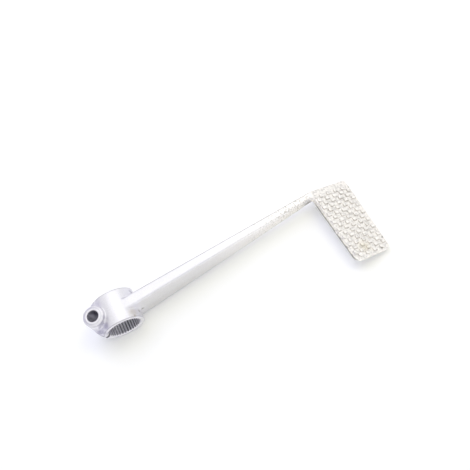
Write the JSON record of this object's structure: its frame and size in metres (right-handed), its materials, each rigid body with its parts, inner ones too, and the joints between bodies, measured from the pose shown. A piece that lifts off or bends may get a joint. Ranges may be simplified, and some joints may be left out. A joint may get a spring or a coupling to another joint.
{
  "type": "rear brake pedal",
  "caption": "Forged aluminium rear brake pedal with a serrated pinch-clamp hub, a straight tapering arm and a side-reaching foot pad with a studded tread.",
  "frame": {"origin": "on the axis of the serrated hub bore, halfway along the hub", "axes": "+X along the arm towards the foot pad, +Y along the hub bore towards the machine, +Z along the pinch bolt towards its head; the foot pad reaches towards -Y with its tread up"},
  "size_m": [0.1892, 0.0558, 0.0298],
  "materials": {
    "forged_aluminium": "satin, tumbled forging with scuffs, a stain at the hub's open end and pitting near the pad"
  },
  "bodies": {
    "root": {"brake_pedal": "forged_aluminium"}
  },
  "joints": []
}
